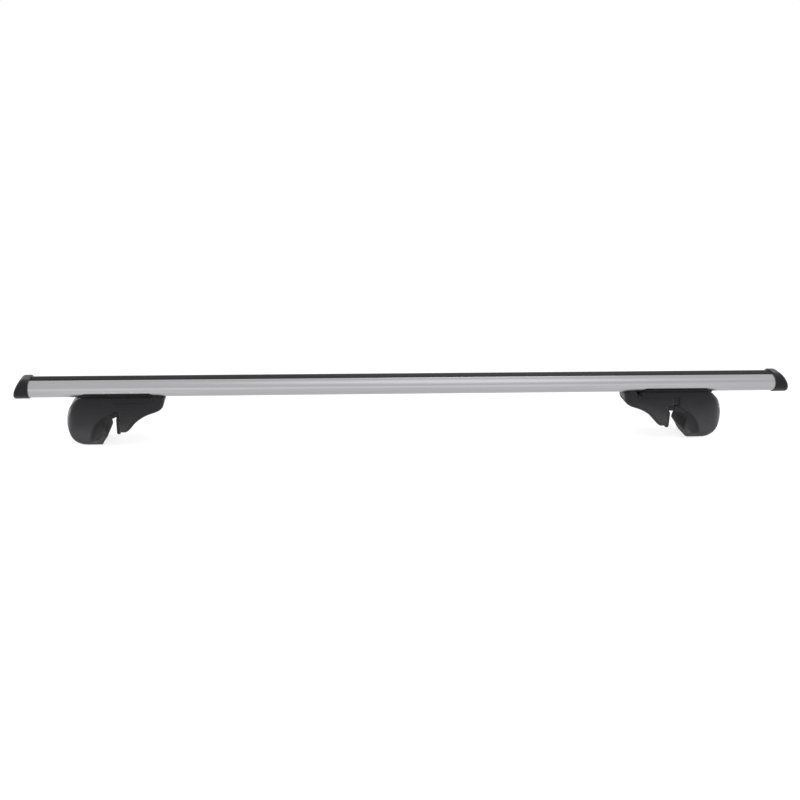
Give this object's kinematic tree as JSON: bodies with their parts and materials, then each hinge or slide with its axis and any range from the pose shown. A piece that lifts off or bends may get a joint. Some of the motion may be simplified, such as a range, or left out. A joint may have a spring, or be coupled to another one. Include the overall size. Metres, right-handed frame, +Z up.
{
  "type": "roof rack crossbar",
  "caption": "Oval aluminium roof rack crossbar with a rubber top strip, slanted end caps and sliding clamp feet that grip raised roof rails between a hook and a screw-driven jaw.",
  "frame": {"origin": "on the standing plane under the middle of the bar", "axes": "+X along the bar, +Z up, the picture's viewer on the -Y side"},
  "size_m": [1.2068, 0.062, 0.1047],
  "materials": {
    "aluminium": "satin anodised",
    "rubber": "matt black rubber",
    "black_plastic": "finely grained black moulding",
    "steel": "zinc plated"
  },
  "bodies": {
    "bar": {"bar": "aluminium", "top_strip": "rubber", "end_cap_left": "black_plastic", "end_cap_right": "black_plastic"},
    "foot_left": {"foot_left": "black_plastic", "saddle_left": "rubber", "hook_pad_left": "rubber", "slide_key_left": "steel", "key_screws_left": "steel", "clamp_washer_left": "steel"},
    "jaw_left": {"jaw_left": "black_plastic", "jaw_pad_left": "rubber", "clamp_nut_left": "steel"},
    "screw_left": {"clamp_screw_left": "steel"},
    "foot_right": {"foot_right": "black_plastic", "saddle_right": "rubber", "hook_pad_right": "rubber", "slide_key_right": "steel", "key_screws_right": "steel", "clamp_washer_right": "steel"},
    "jaw_right": {"jaw_right": "black_plastic", "jaw_pad_right": "rubber", "clamp_nut_right": "steel"},
    "screw_right": {"clamp_screw_right": "steel"}
  },
  "joints": [
    {"name": "foot_left_slide", "type": "slide", "parent": "bar", "child": "foot_left", "axis": [1, 0, 0], "range_m": [-0.04, 0.2]},
    {"name": "foot_right_slide", "type": "slide", "parent": "bar", "child": "foot_right", "axis": [-1, 0, 0], "range_m": [-0.07, 0.17]},
    {"name": "jaw_left_slide", "type": "slide", "parent": "foot_left", "child": "jaw_left", "axis": [1, 0, 0], "range_m": [0, 0.017]},
    {"name": "jaw_right_slide", "type": "slide", "parent": "foot_right", "child": "jaw_right", "axis": [-1, 0, 0], "range_m": [-0.0102, 0.0068]},
    {"name": "screw_left_turn", "type": "hinge", "parent": "foot_left", "child": "screw_left", "pos_m": [-0.5126, 0, 0.0627], "axis": [-1, 0, 0], "range_deg": [-2, 6122]},
    {"name": "screw_right_turn", "type": "hinge", "parent": "foot_right", "child": "screw_right", "pos_m": [0.4837, 0, 0.0627], "axis": [1, 0, 0], "range_deg": [-3674, 2450]}
  ],
  "couplings": [
    {"joint": "screw_left_turn", "follows": "jaw_left_slide", "rad_per_m": 6283.2},
    {"joint": "screw_right_turn", "follows": "jaw_right_slide", "rad_per_m": 6283.2}
  ]
}
